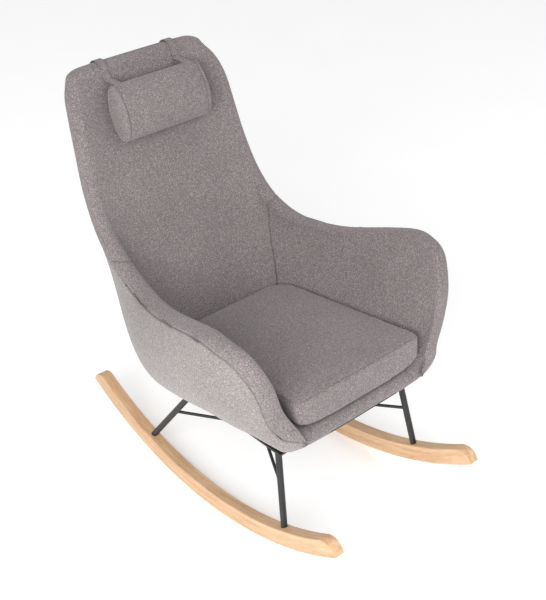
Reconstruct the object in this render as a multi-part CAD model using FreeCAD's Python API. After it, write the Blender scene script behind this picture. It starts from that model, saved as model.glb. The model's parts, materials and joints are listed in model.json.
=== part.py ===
"""Rocking chair: upholstered tub on steel legs and two beech rockers.

Millimetres, +Z up.  The front of the chair faces -Y.  The origin is on the floor, under the
middle of the chair's length and width.
"""
import FreeCAD, Part
import math
import os
from FreeCAD import Vector

# ---- driving dimensions -------------------------------------------------------------------

# Rockers
ROCKER_RADIUS = 920.0          # underside
ROCKER_DEPTH = 44.0
ROCKER_WIDTH = 32.0
ROCKER_HALF_GAUGE = 218.0      # centre plane at the floor contact
ROCKER_TOE_DEG = 1.7           # wider apart at the front
ROCKER_CONTACT_Y = 14.0
ROCKER_FRONT_DEG = 34.7
ROCKER_REAR_DEG = 28.2
ROCKER_NOSE = 34.0             # length over which the top edge rounds down at each end
ROCKER_END_FACE = 9.0          # flat height left at the end, above the bottom corner
ROCKER_EDGE_ROUND = 3.0

# Legs
LEG_RADIUS = 8.0
LEG_WALL = 1.5
LEG_SOCKET_DEPTH = 24.0
FRONT_LEG_FOOT = Vector(225.6, -323.0, 111.0)
REAR_LEG_FOOT = Vector(211.5, 196.0, 62.0)
FRONT_LEG_LEAN = Vector(-0.112, 0.248, 1.0)
REAR_LEG_LEAN = Vector(-0.042, -0.710, 1.0)
INSERT_LENGTH = 22.0
SCREW_RADIUS = 3.0
SCREW_HEAD_RADIUS = 6.0
SCREW_HEAD_HEIGHT = 4.0
SCREW_BORE_RADIUS = 3.4
COUNTERBORE_RADIUS = 8.5
WASHER_RADIUS = 8.0
WASHER_THICKNESS = 1.5
SCREW_WOOD = 14.0              # wood left between the counterbore and the leg's end

# Braces
BRACE_RADIUS = 4.0
BRACE_BEND_RADIUS = 80.0
FRONT_BRACE_Z = 217.0
FRONT_BRACE_RUN = Vector(-0.517, 0.849, -0.109)
REAR_BRACE_Z = 190.0
REAR_BRACE_RUN = Vector(-0.517, -0.849, 0.0366)

# Steel frame under the seat
RAIL_TOP_Z = 308.0
RAIL_WIDTH = 30.0
RAIL_THICKNESS = 5.0
RAIL_X = 202.0
RAIL_FRONT_Y = -296.0
RAIL_REAR_Y = 42.0
CROSSBAR_FRONT_Y = -266.0
CROSSBAR_REAR_Y = 10.0
CLEAT_WIDTH = 20.0
CLEAT_X = 196.0
BOLT_Y = (-244.0, -14.0)
BOLT_RADIUS = 3.0
BOLT_HEAD_RADIUS = 5.5
BOLT_HEAD_HEIGHT = 4.0
BOLT_CLEARANCE_RADIUS = 3.3
BOLT_WASHER_RADIUS = 8.0
TEE_NUT_RADIUS = 9.0
TEE_NUT_BARREL = 4.2
TEE_NUT_FLANGE = 2.5
CLEAT_BLANK = 60.0             # height of the cleats before they are shaped to the tub

# Tub.  Its sections are half-planes that fan out from one horizontal line in front of and
# above the seat, so they turn from the front rail, under the seat, and up the back.
FAN_Y = -489.0
FAN_Z = 978.0
# angle, rim half width, rim radius, corner half width, centre radius, inside corner half width
TUB_STATIONS = (
    (14.6, 222, 612, 246, 645, 206),
    (17, 263, 546, 270, 657, 226),
    (20, 281, 490, 294, 672, 230),
    (24, 295, 455, 320, 692, 228),
    (30, 312, 432, 344, 728, 222),
    (36, 323, 441, 356, 796, 214),
    (42, 323, 474, 349, 886, 210),
    (47, 309, 553, 328, 920, 208),
    (52, 281, 676, 300, 915, 207),
    (57, 254, 775, 268, 906, 205),
    (62, 242, 836, 240, 900, 203),
    (67, 237, 870, 220, 898, 190),
    (73, 231, 889, 206, 903, 174),
    (80, 222, 903, 188, 920, 158),
    (84.5, 214, 919, 168, 942, 144),
    (87.3, 196, 942, 146, 959, 128),
    (89.3, 160, 968, 118, 972, 108),
)
FRONT_DEG = 14.6
TOP_DEG = 89.3
WALL_HALF = 23.5               # half the wall's thickness; the rim is a roll of this radius
CORNER_PULL = 0.9              # how square the tub's corners are
WALL_PULL = 0.25
FABRIC = 2.0
LAYER_GAP = 0.8
SHELL_GAP = 3.4                # clearance of the pads from the moulded shell
CORE_OUT = 14.0                # faces of the moulded shell, from the middle of the wall
CORE_IN = 4.0
CORE_RIM_SETBACK = 20.0
RIM_SEAM = 6.0                # outer seam, measured from the rim's centre line
FRONT_NOSE_DEG = 2.0
TOP_NOSE_DEG = 1.3
GRID_START_DEG = 12.6          # the tub's sections lie on a common grid of angles
NOSE_STEP_DEG = 0.5
CORNER_STEP_DEG = 1.0
SECTION_STEP_DEG = 3.0
FRONT_CORNER_DEG = 21.6
TOP_CORNER_DEG = 84.0
NOSE_SHARE = 0.8               # how far the wall thins at the end of a nose
CORNER_T = 0.5                 # Bezier parameter of the corner between seat and arm
SEAT_BACK_DEG = 50.0           # section where the seat's lining ends and the back's begins
ARM_END_DEG = 61.5             # section where the seam between back and arm crosses the rim
ARM_SEAM_TOP_T = 0.97
SIDE_START_T = 0.20            # Bezier parameter where the outer side panels begin

# Seat cushion
CUSHION_FRONT_Y = -342.0
CUSHION_REAR_Y = 124.0
CUSHION_FRONT_HALF = 207.0
CUSHION_REAR_HALF = 178.0
CUSHION_THICKNESS = 76.0
CUSHION_FRONT_Z = 392.0        # underside at the front
CUSHION_SLOPE_DEG = 6.0
CUSHION_FRONT_CORNER = 22.0
CUSHION_REAR_CORNER = 60.0
# underside: distance from the centre line, and rise above the flat front part
CUSHION_UNDER_FRONT = ((95, -9), (133, -7), (165, -2), (190, 8), (210, 25))
CUSHION_UNDER_MIDDLE = ((95, 9), (133, 19), (165, 34), (190, 54), (210, 71.5))
CUSHION_UNDER_REAR = ((95, 20), (133, 40), (165, 67), (190, 72), (210, 73))
CUSHION_FULL_DEPTH = 35.0      # the front stretch, before the underside starts to rise
CUSHION_HOLLOW_START = 200.0   # from here on it follows the hollow seat
CUSHION_HOLLOW_END = 330.0     # from here on it rises towards the back
CUSHION_COVER = 1.6
ZIP_LENGTH = 230.0
ZIP_HEIGHT = 12.0
ZIP_THICKNESS = 1.2
SLIDER_SIZE = (9.0, 3.0, 8.0)

# Head pillow
PILLOW_HALF_LENGTH = 134.0
PILLOW_HEIGHT = 146.0
PILLOW_DEPTH = 72.0
PILLOW_CENTRE = (382.0, 897.0)  # y, z
PILLOW_LEAN_DEG = 21.0
PILLOW_COVER = 1.6
PILLOW_END_ROUND = 14.0
STRAP_X = 104.0
STRAP_WIDTH = 18.0
STRAP_THICKNESS = 2.0
STRAP_GAP = 2.4
STRAP_LOW_DEG = 86.7           # sections where the strap ends, inside and outside
STRAP_TAIL_DEG = 83.9
PATCH_TOP_DEG = 86.7
PATCH_THICKNESS = 1.2

PARTS_FOLDER = "parts"
FAR = 1200.0                   # longer than the chair in any direction


# ---- small helpers ------------------------------------------------------------------------

def mirrored(shape):
    return shape.mirror(Vector(0, 0, 0), Vector(1, 0, 0))


def save(name, shape):
    shape.exportStep(os.path.join(PARTS_FOLDER, name + ".step"))


def save_pair(name, right_shape):
    save("right_" + name, right_shape)
    save("left_" + name, mirrored(right_shape))


def smooth_curve(points):
    curve = Part.BSplineCurve()
    curve.interpolate(points)
    return curve.toShape()


def rod(start, end, radius):
    along = end - start
    return Part.makeCylinder(radius, along.Length, start, along)


def at_height(foot, lean, z):
    return foot + lean * ((z - foot.z) / lean.z)


# ---- tub sections -------------------------------------------------------------------------

def station_value(column, angle):
    """Value of one column of TUB_STATIONS at an angle, on a smooth curve through the stations."""
    angle = min(max(angle, TUB_STATIONS[0][0]), TUB_STATIONS[-1][0])
    index = 0
    while index < len(TUB_STATIONS) - 2 and angle > TUB_STATIONS[index + 1][0]:
        index += 1

    def slope(i):
        low = TUB_STATIONS[max(i - 1, 0)]
        high = TUB_STATIONS[min(i + 1, len(TUB_STATIONS) - 1)]
        return (high[column] - low[column]) / (high[0] - low[0])

    start, end = TUB_STATIONS[index], TUB_STATIONS[index + 1]
    span = end[0] - start[0]
    t = (angle - start[0]) / span
    return ((2 * t**3 - 3 * t**2 + 1) * start[column] + (t**3 - 2 * t**2 + t) * span * slope(index)
            + (3 * t**2 - 2 * t**3) * end[column] + (t**3 - t**2) * span * slope(index + 1))


def in_space(angle, point):
    """A section's point (x, distance from the fan's line) as a point of the chair."""
    x, radius = point
    turn = math.radians(angle)
    return Vector(x, FAN_Y + radius * math.sin(turn), FAN_Z - radius * math.cos(turn))


def bezier(corners, t):
    weights = ((1 - t)**3, 3 * t * (1 - t)**2, 3 * t * t * (1 - t), t**3)
    return tuple(sum(w * corner[axis] for w, corner in zip(weights, corners)) for axis in (0, 1))


def bezier_normal(corners, t):
    step = 1e-3
    before = bezier(corners, max(t - step, 0))
    after = bezier(corners, min(t + step, 1))
    run, rise = after[0] - before[0], after[1] - before[1]
    length = math.hypot(run, rise)
    return -rise / length, run / length


def wall_corners(angle):
    """Bezier corners of the middle of the wall, from the centre line to the rim."""
    rim_x, rim_r, corner_x, centre_r = (station_value(c, angle) for c in (1, 2, 3, 4))
    shoulder_r = centre_r - WALL_PULL * (centre_r - rim_r)
    return (0, centre_r), (CORNER_PULL * corner_x, centre_r), (corner_x, shoulder_r), (rim_x, rim_r)


def lining_corners(angle, inset):
    """Bezier corners of the inside face, moved outwards by inset."""
    wall = wall_corners(angle)
    normal = bezier_normal(wall, 1)
    size = half_wall(angle) - inset
    rim = tuple(wall[3][i] - size * normal[i] for i in (0, 1))
    seat_r = wall[0][1] - size
    corner_x = station_value(5, angle) + inset
    shoulder_r = seat_r - WALL_PULL * (seat_r - rim[1])
    return (0, seat_r), (CORNER_PULL * corner_x, seat_r), (corner_x, shoulder_r), rim


def wall_point(angle, t, offset):
    """Point at t along the middle of the wall, moved outwards by offset."""
    corners = wall_corners(angle)
    x, radius = bezier(corners, t)
    normal = bezier_normal(corners, t)
    return x + offset * normal[0], radius + offset * normal[1]


def wall_t(angle, from_rim):
    """Bezier parameter of the wall's point at a distance from the rim, along the wall."""
    corners = wall_corners(angle)
    steps = 200
    length = 0.0
    last = bezier(corners, 1)
    for i in range(steps, 0, -1):
        point = bezier(corners, (i - 1) / steps)
        length += math.dist(point, last)
        if length >= from_rim:
            return (i - 1) / steps
        last = point
    return 0.0


def half_wall(angle):
    """Half the wall's thickness: it rounds off over the front rail's and the top edge's nose."""
    past = max((FRONT_DEG - angle) / FRONT_NOSE_DEG, (angle - TOP_DEG) / TOP_NOSE_DEG, 0)
    return WALL_HALF * math.sqrt(1 - NOSE_SHARE * past * past)


def flip(points):
    return [(-x, radius) for x, radius in reversed(points)]


def reach(row):
    """A right half line, reflected and joined to run from the left end to the right end."""
    return flip(row)[:-1] + row


def wall_row(angle, offset, start, end):
    """A line parallel to the wall, between two Bezier parameters of its right half."""
    steps = 10
    return [wall_point(angle, start + (end - start) * i / steps, offset) for i in range(steps + 1)]


def lining_row(angle, inset, start, end):
    """The inside face moved outwards by inset, between two Bezier parameters."""
    steps = 10
    corners = lining_corners(angle, inset)
    return [bezier(corners, start + (end - start) * i / steps) for i in range(steps + 1)]


def rim_arc(angle, inset):
    """Tip and outside end of the rim's roll."""
    corners = wall_corners(angle)
    x, rim_r = corners[3]
    nx, nr = bezier_normal(corners, 1)
    size = half_wall(angle) - inset
    return (x + size * nr, rim_r - size * nx), (x + size * nx, rim_r + size * nr)


def strip_row(angle, inset, from_rim):
    """Short line on the outside of the wall, from the rim down to from_rim."""
    low = wall_t(angle, from_rim)
    size = half_wall(angle) - inset
    return [wall_point(angle, 1 - (1 - low) * i / 4, size) for i in range(5)]


def spline_edge(angle, row):
    return smooth_curve([in_space(angle, point) for point in row])


def line_edge(angle, start, end):
    return Part.LineSegment(in_space(angle, start), in_space(angle, end)).toShape()


def arc_edge(angle, three):
    return Part.Arc(*(in_space(angle, point) for point in three)).toShape()


def closed_section(angle, outer, inner):
    """Closed section between two rows that run the same way."""
    return Part.Wire([
        spline_edge(angle, outer),
        line_edge(angle, outer[-1], inner[-1]),
        spline_edge(angle, inner[::-1]),
        line_edge(angle, inner[0], outer[0]),
    ])


def rim_rows(angle, inset, start, from_rim, whole):
    """Rows up the inside face, round the rim's roll and down to from_rim on the outside."""
    face = lining_row(angle, inset, start, 1.0)
    arc = [face[-1], *rim_arc(angle, inset)]
    strip = strip_row(angle, inset, from_rim)
    if whole:
        return [flip(strip), flip(arc), reach(face), arc, strip]
    return [face, arc, strip]


def rolled_section(angle, inset, start, from_rim, under_rows, whole):
    """Closed section from the rows of rim_rows, closed by the rows that lie under them."""
    over = rim_rows(angle, inset, start, from_rim, whole)
    under = [row[::-1] for row in reversed(under_rows)]
    edges = []
    for rows, next_rows in ((over, under), (under, over)):
        edges += [arc_edge(angle, row) if len(row) == 3 else spline_edge(angle, row) for row in rows]
        edges.append(line_edge(angle, rows[-1][-1], next_rows[0][0]))
    return Part.Wire(edges)


def foam_section(angle, start, whole):
    back = wall_row(angle, CORE_IN - SHELL_GAP, start, wall_t(angle, CORE_RIM_SETBACK))
    return rolled_section(angle, FABRIC + LAYER_GAP, start, CORE_RIM_SETBACK,
                          [reach(back) if whole else back], whole)


def fabric_section(angle, start, whole):
    return rolled_section(angle, 0, start, RIM_SEAM,
                          rim_rows(angle, FABRIC, start, RIM_SEAM, whole), whole)


def section_angles(first, last):
    """Section angles between two limits, closer together where the tub turns its noses."""
    angles = [first]
    while angles[-1] < last:
        at = angles[-1]
        step = NOSE_STEP_DEG if at < FRONT_DEG or at >= TOP_DEG else SECTION_STEP_DEG
        if FRONT_DEG <= at < FRONT_CORNER_DEG or TOP_CORNER_DEG <= at < TOP_DEG:
            step = CORNER_STEP_DEG
        grid = GRID_START_DEG + step * (math.floor((at - GRID_START_DEG) / step + 1e-6) + 1)
        angles.append(grid)
    if len(angles) > 2 and last - angles[-2] < 0.3 * NOSE_STEP_DEG:
        angles.pop()
    return angles[:-1] + [last]


def tub_loft(section, first, last):
    return Part.makeLoft([section(angle) for angle in section_angles(first, last)], True, True)


def arm_seam_t(angle):
    """Where the seam between back and arm crosses a section: it climbs from corner to rim."""
    share = (angle - SEAT_BACK_DEG) / (ARM_END_DEG - SEAT_BACK_DEG)
    return CORNER_T + (ARM_SEAM_TOP_T - CORNER_T) * min(max(share, 0), 1)


# ---- base ---------------------------------------------------------------------------------

def rocker_point(radius, degrees):
    turn = math.radians(degrees)
    return Vector(0, ROCKER_CONTACT_Y + radius * math.sin(turn), ROCKER_RADIUS - radius * math.cos(turn))


def rocker_blank():
    """A curved beech bar on the centre plane; its top edge rounds down to the bottom corner."""
    top_radius = ROCKER_RADIUS - ROCKER_DEPTH
    nose_deg = math.degrees(ROCKER_NOSE / top_radius)
    face_radius = ROCKER_RADIUS - ROCKER_END_FACE

    def nose(end_deg, sign):
        start = rocker_point(top_radius, end_deg - sign * nose_deg)
        middle = rocker_point(top_radius + ROCKER_DEPTH * 0.2, end_deg - sign * nose_deg * 0.3)
        return start, middle, rocker_point(face_radius, end_deg)

    front = nose(-ROCKER_FRONT_DEG, -1)
    rear = nose(ROCKER_REAR_DEG, 1)
    bottom_front = rocker_point(ROCKER_RADIUS, -ROCKER_FRONT_DEG)
    bottom_rear = rocker_point(ROCKER_RADIUS, ROCKER_REAR_DEG)
    outline = Part.Wire([
        Part.Arc(bottom_front, rocker_point(ROCKER_RADIUS, 0), bottom_rear).toShape(),
        Part.LineSegment(bottom_rear, rear[2]).toShape(),
        Part.Arc(rear[2], rear[1], rear[0]).toShape(),
        Part.Arc(rear[0], rocker_point(top_radius, 0), front[0]).toShape(),
        Part.Arc(front[0], front[1], front[2]).toShape(),
        Part.LineSegment(front[2], bottom_front).toShape(),
    ])
    bar = Part.Face(outline).extrude(Vector(ROCKER_WIDTH, 0, 0))
    bar.translate(Vector(-ROCKER_WIDTH / 2, 0, 0))
    long_edges = [edge for edge in bar.Edges if abs(edge.tangentAt(edge.FirstParameter).x) < 0.5]
    bar = bar.makeFillet(ROCKER_EDGE_ROUND, [edge for edge in long_edges if edge.Length > ROCKER_NOSE])
    bar.rotate(Vector(0, ROCKER_CONTACT_Y, 0), Vector(0, 0, 1), ROCKER_TOE_DEG)
    bar.translate(Vector(ROCKER_HALF_GAUGE, 0, 0))
    return bar


class Leg:
    """One right-hand leg: its axis, and the fastening in the rocker under it."""

    def __init__(self, foot, lean):
        self.foot = foot
        self.lean = lean
        self.down = Vector(-lean.x, -lean.y, -lean.z).normalize()
        self.end = foot + self.down * LEG_SOCKET_DEPTH
        self.top = at_height(foot, lean, RAIL_TOP_Z - RAIL_THICKNESS)
        self.seat = self.end + self.down * SCREW_WOOD

    def tube(self):
        beyond = self.top - self.down * 30
        outside = rod(self.end, beyond, LEG_RADIUS)
        inside = rod(self.end + self.down, beyond, LEG_RADIUS - LEG_WALL)
        above = Part.makeBox(FAR, FAR, FAR, Vector(-FAR / 2, -FAR / 2, RAIL_TOP_Z - RAIL_THICKNESS))
        return outside.cut(inside).cut(above)

    def solid_bar(self):
        return rod(self.end, self.top, LEG_RADIUS)

    def socket(self):
        """What is drilled out of the rocker for the leg, its screw and the screw's head."""
        bore = rod(self.end, self.foot - self.down * 60, LEG_RADIUS)
        hole = rod(self.end, self.seat, SCREW_BORE_RADIUS)
        counterbore = rod(self.seat, self.seat + self.down * 60, COUNTERBORE_RADIUS)
        return bore.fuse(hole).fuse(counterbore)

    def insert(self):
        plug = rod(self.end, self.end - self.down * INSERT_LENGTH, LEG_RADIUS - LEG_WALL)
        return plug.cut(rod(self.end, self.end - self.down * INSERT_LENGTH, SCREW_RADIUS))

    def washer(self):
        disc = rod(self.seat, self.seat + self.down * WASHER_THICKNESS, WASHER_RADIUS)
        return disc.cut(rod(self.seat, self.seat + self.down * WASHER_THICKNESS, SCREW_BORE_RADIUS))

    def screw(self):
        under_head = self.seat + self.down * WASHER_THICKNESS
        shank = rod(under_head, self.end - self.down * (INSERT_LENGTH - 4), SCREW_RADIUS)
        head = rod(under_head, under_head + self.down * SCREW_HEAD_HEIGHT, SCREW_HEAD_RADIUS)
        key = rod(under_head + self.down * 1.5, under_head + self.down * SCREW_HEAD_HEIGHT, 2.2)
        return shank.fuse(head).cut(key).removeSplitter()


FRONT_LEG = Leg(FRONT_LEG_FOOT, FRONT_LEG_LEAN)
REAR_LEG = Leg(REAR_LEG_FOOT, REAR_LEG_LEAN)
LEGS = (FRONT_LEG, REAR_LEG)


def brace(leg, height, run):
    """A bent rod from leg to leg: two straight arms and one bend on the centre plane."""
    right = at_height(leg.foot, leg.lean, height)
    apex = right + run * (right.x / -run.x)
    left = Vector(-right.x, right.y, right.z)
    arm = (right - apex).normalize()
    turn = math.pi - 2 * math.asin(abs(arm.x))
    setback = BRACE_BEND_RADIUS / math.tan((math.pi - turn) / 2)
    bend_right = apex + arm * setback
    bend_left = Vector(-bend_right.x, bend_right.y, bend_right.z)
    to_middle = Vector(0, bend_right.y - apex.y, bend_right.z - apex.z).normalize()
    to_centre = BRACE_BEND_RADIUS / math.sin((math.pi - turn) / 2)
    middle = apex + to_middle * (to_centre - BRACE_BEND_RADIUS)
    path = Part.Wire([
        Part.LineSegment(right, bend_right).toShape(),
        Part.Arc(bend_right, middle, bend_left).toShape(),
        Part.LineSegment(bend_left, left).toShape(),
    ])
    circle = Part.Wire([Part.makeCircle(BRACE_RADIUS, right, arm)])
    bar = path.makePipeShell([circle], True, True)
    return bar.cut(leg.solid_bar()).cut(mirrored(leg.solid_bar()))


def make_base():
    rocker = rocker_blank()
    for leg in LEGS:
        rocker = rocker.cut(leg.socket())
    save_pair("rocker", rocker)
    save("front_right_leg", FRONT_LEG.tube())
    save("front_left_leg", mirrored(FRONT_LEG.tube()))
    save("rear_right_leg", REAR_LEG.tube())
    save("rear_left_leg", mirrored(REAR_LEG.tube()))
    save("front_brace", brace(FRONT_LEG, FRONT_BRACE_Z, FRONT_BRACE_RUN))
    save("rear_brace", brace(REAR_LEG, REAR_BRACE_Z, REAR_BRACE_RUN))
    for name, shapes in (
        ("leg_inserts", [leg.insert() for leg in LEGS]),
        ("rocker_screws", [leg.screw() for leg in LEGS]),
        ("rocker_washers", [leg.washer() for leg in LEGS]),
    ):
        save(name, Part.makeCompound(shapes + [mirrored(shape) for shape in shapes]))


class Bolt:
    """One right-hand bolt: up through rail, cleat and fabric into a tee nut in the seat shell."""

    def __init__(self, y, shell):
        self.y = y
        line = Part.makeLine(Vector(CLEAT_X, y, RAIL_TOP_Z), Vector(CLEAT_X, y, RAIL_TOP_Z + 120))
        faces = sorted(vertex.Z for vertex in shell.common(line).Vertexes)
        self.under_z, self.upper_z = faces[0], faces[-1]
        self.washer_z = RAIL_TOP_Z - RAIL_THICKNESS - WASHER_THICKNESS

    def cylinder(self, radius, low, high):
        return Part.makeCylinder(radius, high - low, Vector(CLEAT_X, self.y, low))

    def bore(self, radius):
        return self.cylinder(radius, self.washer_z - BOLT_HEAD_HEIGHT, self.upper_z + TEE_NUT_FLANGE)

    def bolt(self):
        head_z = self.washer_z - BOLT_HEAD_HEIGHT
        shank = self.cylinder(BOLT_RADIUS, head_z, self.upper_z - 2)
        return shank.fuse(self.cylinder(BOLT_HEAD_RADIUS, head_z, self.washer_z)).removeSplitter()

    def washer(self):
        return self.cylinder(BOLT_WASHER_RADIUS, self.washer_z, self.washer_z + WASHER_THICKNESS).cut(
            self.bore(BOLT_CLEARANCE_RADIUS))

    def tee_nut(self, shell):
        flange = self.cylinder(TEE_NUT_RADIUS, self.upper_z - 4, self.upper_z + TEE_NUT_FLANGE).cut(shell)
        barrel = self.cylinder(TEE_NUT_BARREL, self.under_z + 2, self.upper_z)
        return flange.fuse(barrel).cut(self.bore(BOLT_RADIUS)).removeSplitter()


def make_mounting(envelope, shell, bolts):
    """The steel frame, the wooden cleats on it, and the bolts up into the seat shell."""
    bottom_z = RAIL_TOP_Z - RAIL_THICKNESS
    length = RAIL_REAR_Y - RAIL_FRONT_Y
    rail = Part.makeBox(RAIL_WIDTH, length, RAIL_THICKNESS,
                        Vector(RAIL_X - RAIL_WIDTH / 2, RAIL_FRONT_Y, bottom_z))
    cleat = Part.makeBox(CLEAT_WIDTH, length, CLEAT_BLANK,
                         Vector(CLEAT_X - CLEAT_WIDTH / 2, RAIL_FRONT_Y, RAIL_TOP_Z)).cut(envelope)
    cleat = min(cleat.Solids, key=lambda solid: solid.BoundBox.ZMin)
    for bolt in bolts:
        rail = rail.cut(bolt.bore(BOLT_CLEARANCE_RADIUS))
        cleat = cleat.cut(bolt.bore(BOLT_CLEARANCE_RADIUS))
    save_pair("mounting_rail", rail)
    save_pair("mounting_cleat", cleat)
    half = RAIL_X - RAIL_WIDTH / 2
    for name, y in (("front_crossbar", CROSSBAR_FRONT_Y), ("rear_crossbar", CROSSBAR_REAR_Y)):
        save(name, Part.makeBox(2 * half, RAIL_WIDTH, RAIL_THICKNESS,
                                Vector(-half, y - RAIL_WIDTH / 2, bottom_z)))
    for name, shapes in (
        ("mounting_bolts", [bolt.bolt() for bolt in bolts]),
        ("mounting_washers", [bolt.washer() for bolt in bolts]),
        ("tee_nuts", [bolt.tee_nut(shell) for bolt in bolts]),
    ):
        save(name, Part.makeCompound(shapes + [mirrored(shape) for shape in shapes]))


def bored(shape, bolts, radius):
    """The shape without the bolts' holes on both sides."""
    for bolt in bolts:
        shape = shape.cut(bolt.bore(radius)).cut(mirrored(bolt.bore(radius)))
    return shape


# ---- tub ----------------------------------------------------------------------------------

FRONT_EDGE_DEG = FRONT_DEG - FRONT_NOSE_DEG
TOP_EDGE_DEG = TOP_DEG + TOP_NOSE_DEG


def make_shell():
    def section(angle):
        end = wall_t(angle, CORE_RIM_SETBACK + SHELL_GAP)
        return closed_section(angle, reach(wall_row(angle, CORE_OUT, 0, end)),
                              reach(wall_row(angle, CORE_IN, 0, end)))
    return tub_loft(section, FRONT_DEG + 1, TOP_DEG - 1)


def make_foam(bolts):
    def centre_section(angle):
        return closed_section(angle, reach(wall_row(angle, CORE_IN - SHELL_GAP, 0, CORNER_T)),
                              reach(lining_row(angle, FABRIC + LAYER_GAP, 0, CORNER_T)))
    seat = tub_loft(centre_section, FRONT_EDGE_DEG, SEAT_BACK_DEG)
    save("seat_pad", bored(seat, bolts, TEE_NUT_RADIUS + LAYER_GAP))
    save("lower_back_pad", tub_loft(centre_section, SEAT_BACK_DEG, ARM_END_DEG))
    save("back_pad", tub_loft(lambda angle: foam_section(angle, 0, True), ARM_END_DEG, TOP_EDGE_DEG))
    save_pair("arm_pad", tub_loft(lambda angle: foam_section(angle, CORNER_T, False),
                                  FRONT_EDGE_DEG, ARM_END_DEG))


def lining_skin(angle, end):
    return closed_section(angle, reach(lining_row(angle, FABRIC, 0, end)),
                          reach(lining_row(angle, 0, 0, end)))


def make_lining():
    """The sewn inner fabric: seat deck, back and two arm panels, which turn over the rim."""
    save("seat_deck_cover", tub_loft(lambda angle: lining_skin(angle, CORNER_T),
                                     FRONT_EDGE_DEG, SEAT_BACK_DEG))
    save("lower_back_cover", tub_loft(lambda angle: lining_skin(angle, arm_seam_t(angle)),
                                      SEAT_BACK_DEG, ARM_END_DEG))
    save("inner_back_cover", tub_loft(lambda angle: fabric_section(angle, 0, True),
                                      ARM_END_DEG, TOP_EDGE_DEG))
    save_pair("inner_arm_cover", tub_loft(lambda angle: fabric_section(angle, arm_seam_t(angle), False),
                                          FRONT_EDGE_DEG, ARM_END_DEG))


def outside_section(angle, out_offset, in_offset, start, from_rim, whole):
    end = wall_t(angle, from_rim)
    thinning = half_wall(angle) / WALL_HALF
    outer = wall_row(angle, out_offset * thinning, start, end)
    inner = wall_row(angle, in_offset * thinning, start, end)
    if whole:
        return closed_section(angle, reach(outer), reach(inner))
    return closed_section(angle, outer, inner)


def make_outside(bolts):
    """Wadding and outer fabric: one back panel and two side panels of each."""
    for name, out_offset, in_offset, from_rim, first, last in (
        ("wadding", WALL_HALF - FABRIC - LAYER_GAP, CORE_OUT + SHELL_GAP, CORE_RIM_SETBACK + SHELL_GAP,
         FRONT_DEG + 1, TOP_DEG - 1),
        ("cover", WALL_HALF, WALL_HALF - FABRIC, RIM_SEAM, FRONT_EDGE_DEG + 1, TOP_EDGE_DEG),
    ):
        def side(angle):
            return outside_section(angle, out_offset, in_offset, SIDE_START_T, from_rim, False)

        def back(angle):
            return outside_section(angle, out_offset, in_offset, 0, from_rim, True)

        save_pair("outer_" + name, bored(tub_loft(side, first, ARM_END_DEG), bolts, BOLT_CLEARANCE_RADIUS))
        save("outer_back_" + name, tub_loft(back, ARM_END_DEG, last))


def make_dust_cover():
    def section(angle):
        return closed_section(angle, reach(wall_row(angle, WALL_HALF, 0, SIDE_START_T)),
                              reach(wall_row(angle, WALL_HALF - FABRIC, 0, SIDE_START_T)))
    save("dust_cover", tub_loft(section, FRONT_EDGE_DEG + 1, ARM_END_DEG))


def make_envelope():
    """The tub's outside from the fabric inwards, used to shape what fits against it."""
    def section(angle):
        return closed_section(angle, reach(wall_row(angle, WALL_HALF + LAYER_GAP, 0, CORNER_T)),
                              reach(wall_row(angle, -WALL_HALF, 0, CORNER_T)))
    return tub_loft(section, FRONT_DEG, SEAT_BACK_DEG)


# ---- loose seat cushion -------------------------------------------------------------------

def tilt_with_seat(shape):
    shape.rotate(Vector(0, CUSHION_FRONT_Y, CUSHION_FRONT_Z), Vector(-1, 0, 0), CUSHION_SLOPE_DEG)
    return shape


def cushion_section(distance, underside, inset):
    """Section of the cushion across the seat, at a distance behind its front."""
    y = CUSHION_FRONT_Y + distance
    low = [Vector(x, y, CUSHION_FRONT_Z + rise + inset) for x, rise in underside]
    top_z = CUSHION_FRONT_Z + CUSHION_THICKNESS - inset
    half = low + [Vector(low[-1].x, y, top_z)]
    other_half = [Vector(-point.x, point.y, point.z) for point in reversed(half)]
    return Part.makePolygon(half + other_half + half[:1])


def cushion_block(inset):
    """A box cushion whose underside follows the hollow seat, moved inwards all round by inset."""
    length = CUSHION_REAR_Y - CUSHION_FRONT_Y
    sections = [(inset, CUSHION_UNDER_FRONT), (CUSHION_FULL_DEPTH, CUSHION_UNDER_FRONT),
                (CUSHION_HOLLOW_START, CUSHION_UNDER_MIDDLE), (CUSHION_HOLLOW_END, CUSHION_UNDER_MIDDLE),
                (length - inset, CUSHION_UNDER_REAR)]
    block = Part.makeLoft([cushion_section(*section, inset) for section in sections], True, True)
    front, rear = CUSHION_FRONT_Y + inset, CUSHION_REAR_Y - inset
    corners = [Vector(-CUSHION_FRONT_HALF + inset, front, 0), Vector(CUSHION_FRONT_HALF - inset, front, 0),
               Vector(CUSHION_REAR_HALF - inset, rear, 0), Vector(-CUSHION_REAR_HALF + inset, rear, 0)]
    prism = Part.Face(Part.makePolygon(corners + corners[:1])).extrude(Vector(0, 0, FAR))
    for radius, is_front in ((CUSHION_FRONT_CORNER, True), (CUSHION_REAR_CORNER, False)):
        chosen = [edge for edge in prism.Edges if edge.BoundBox.ZLength > FAR / 2
                  and abs(edge.CenterOfMass.y - (front if is_front else rear)) < 1]
        prism = prism.makeFillet(radius - inset, chosen)
    return tilt_with_seat(block.common(prism))


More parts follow.
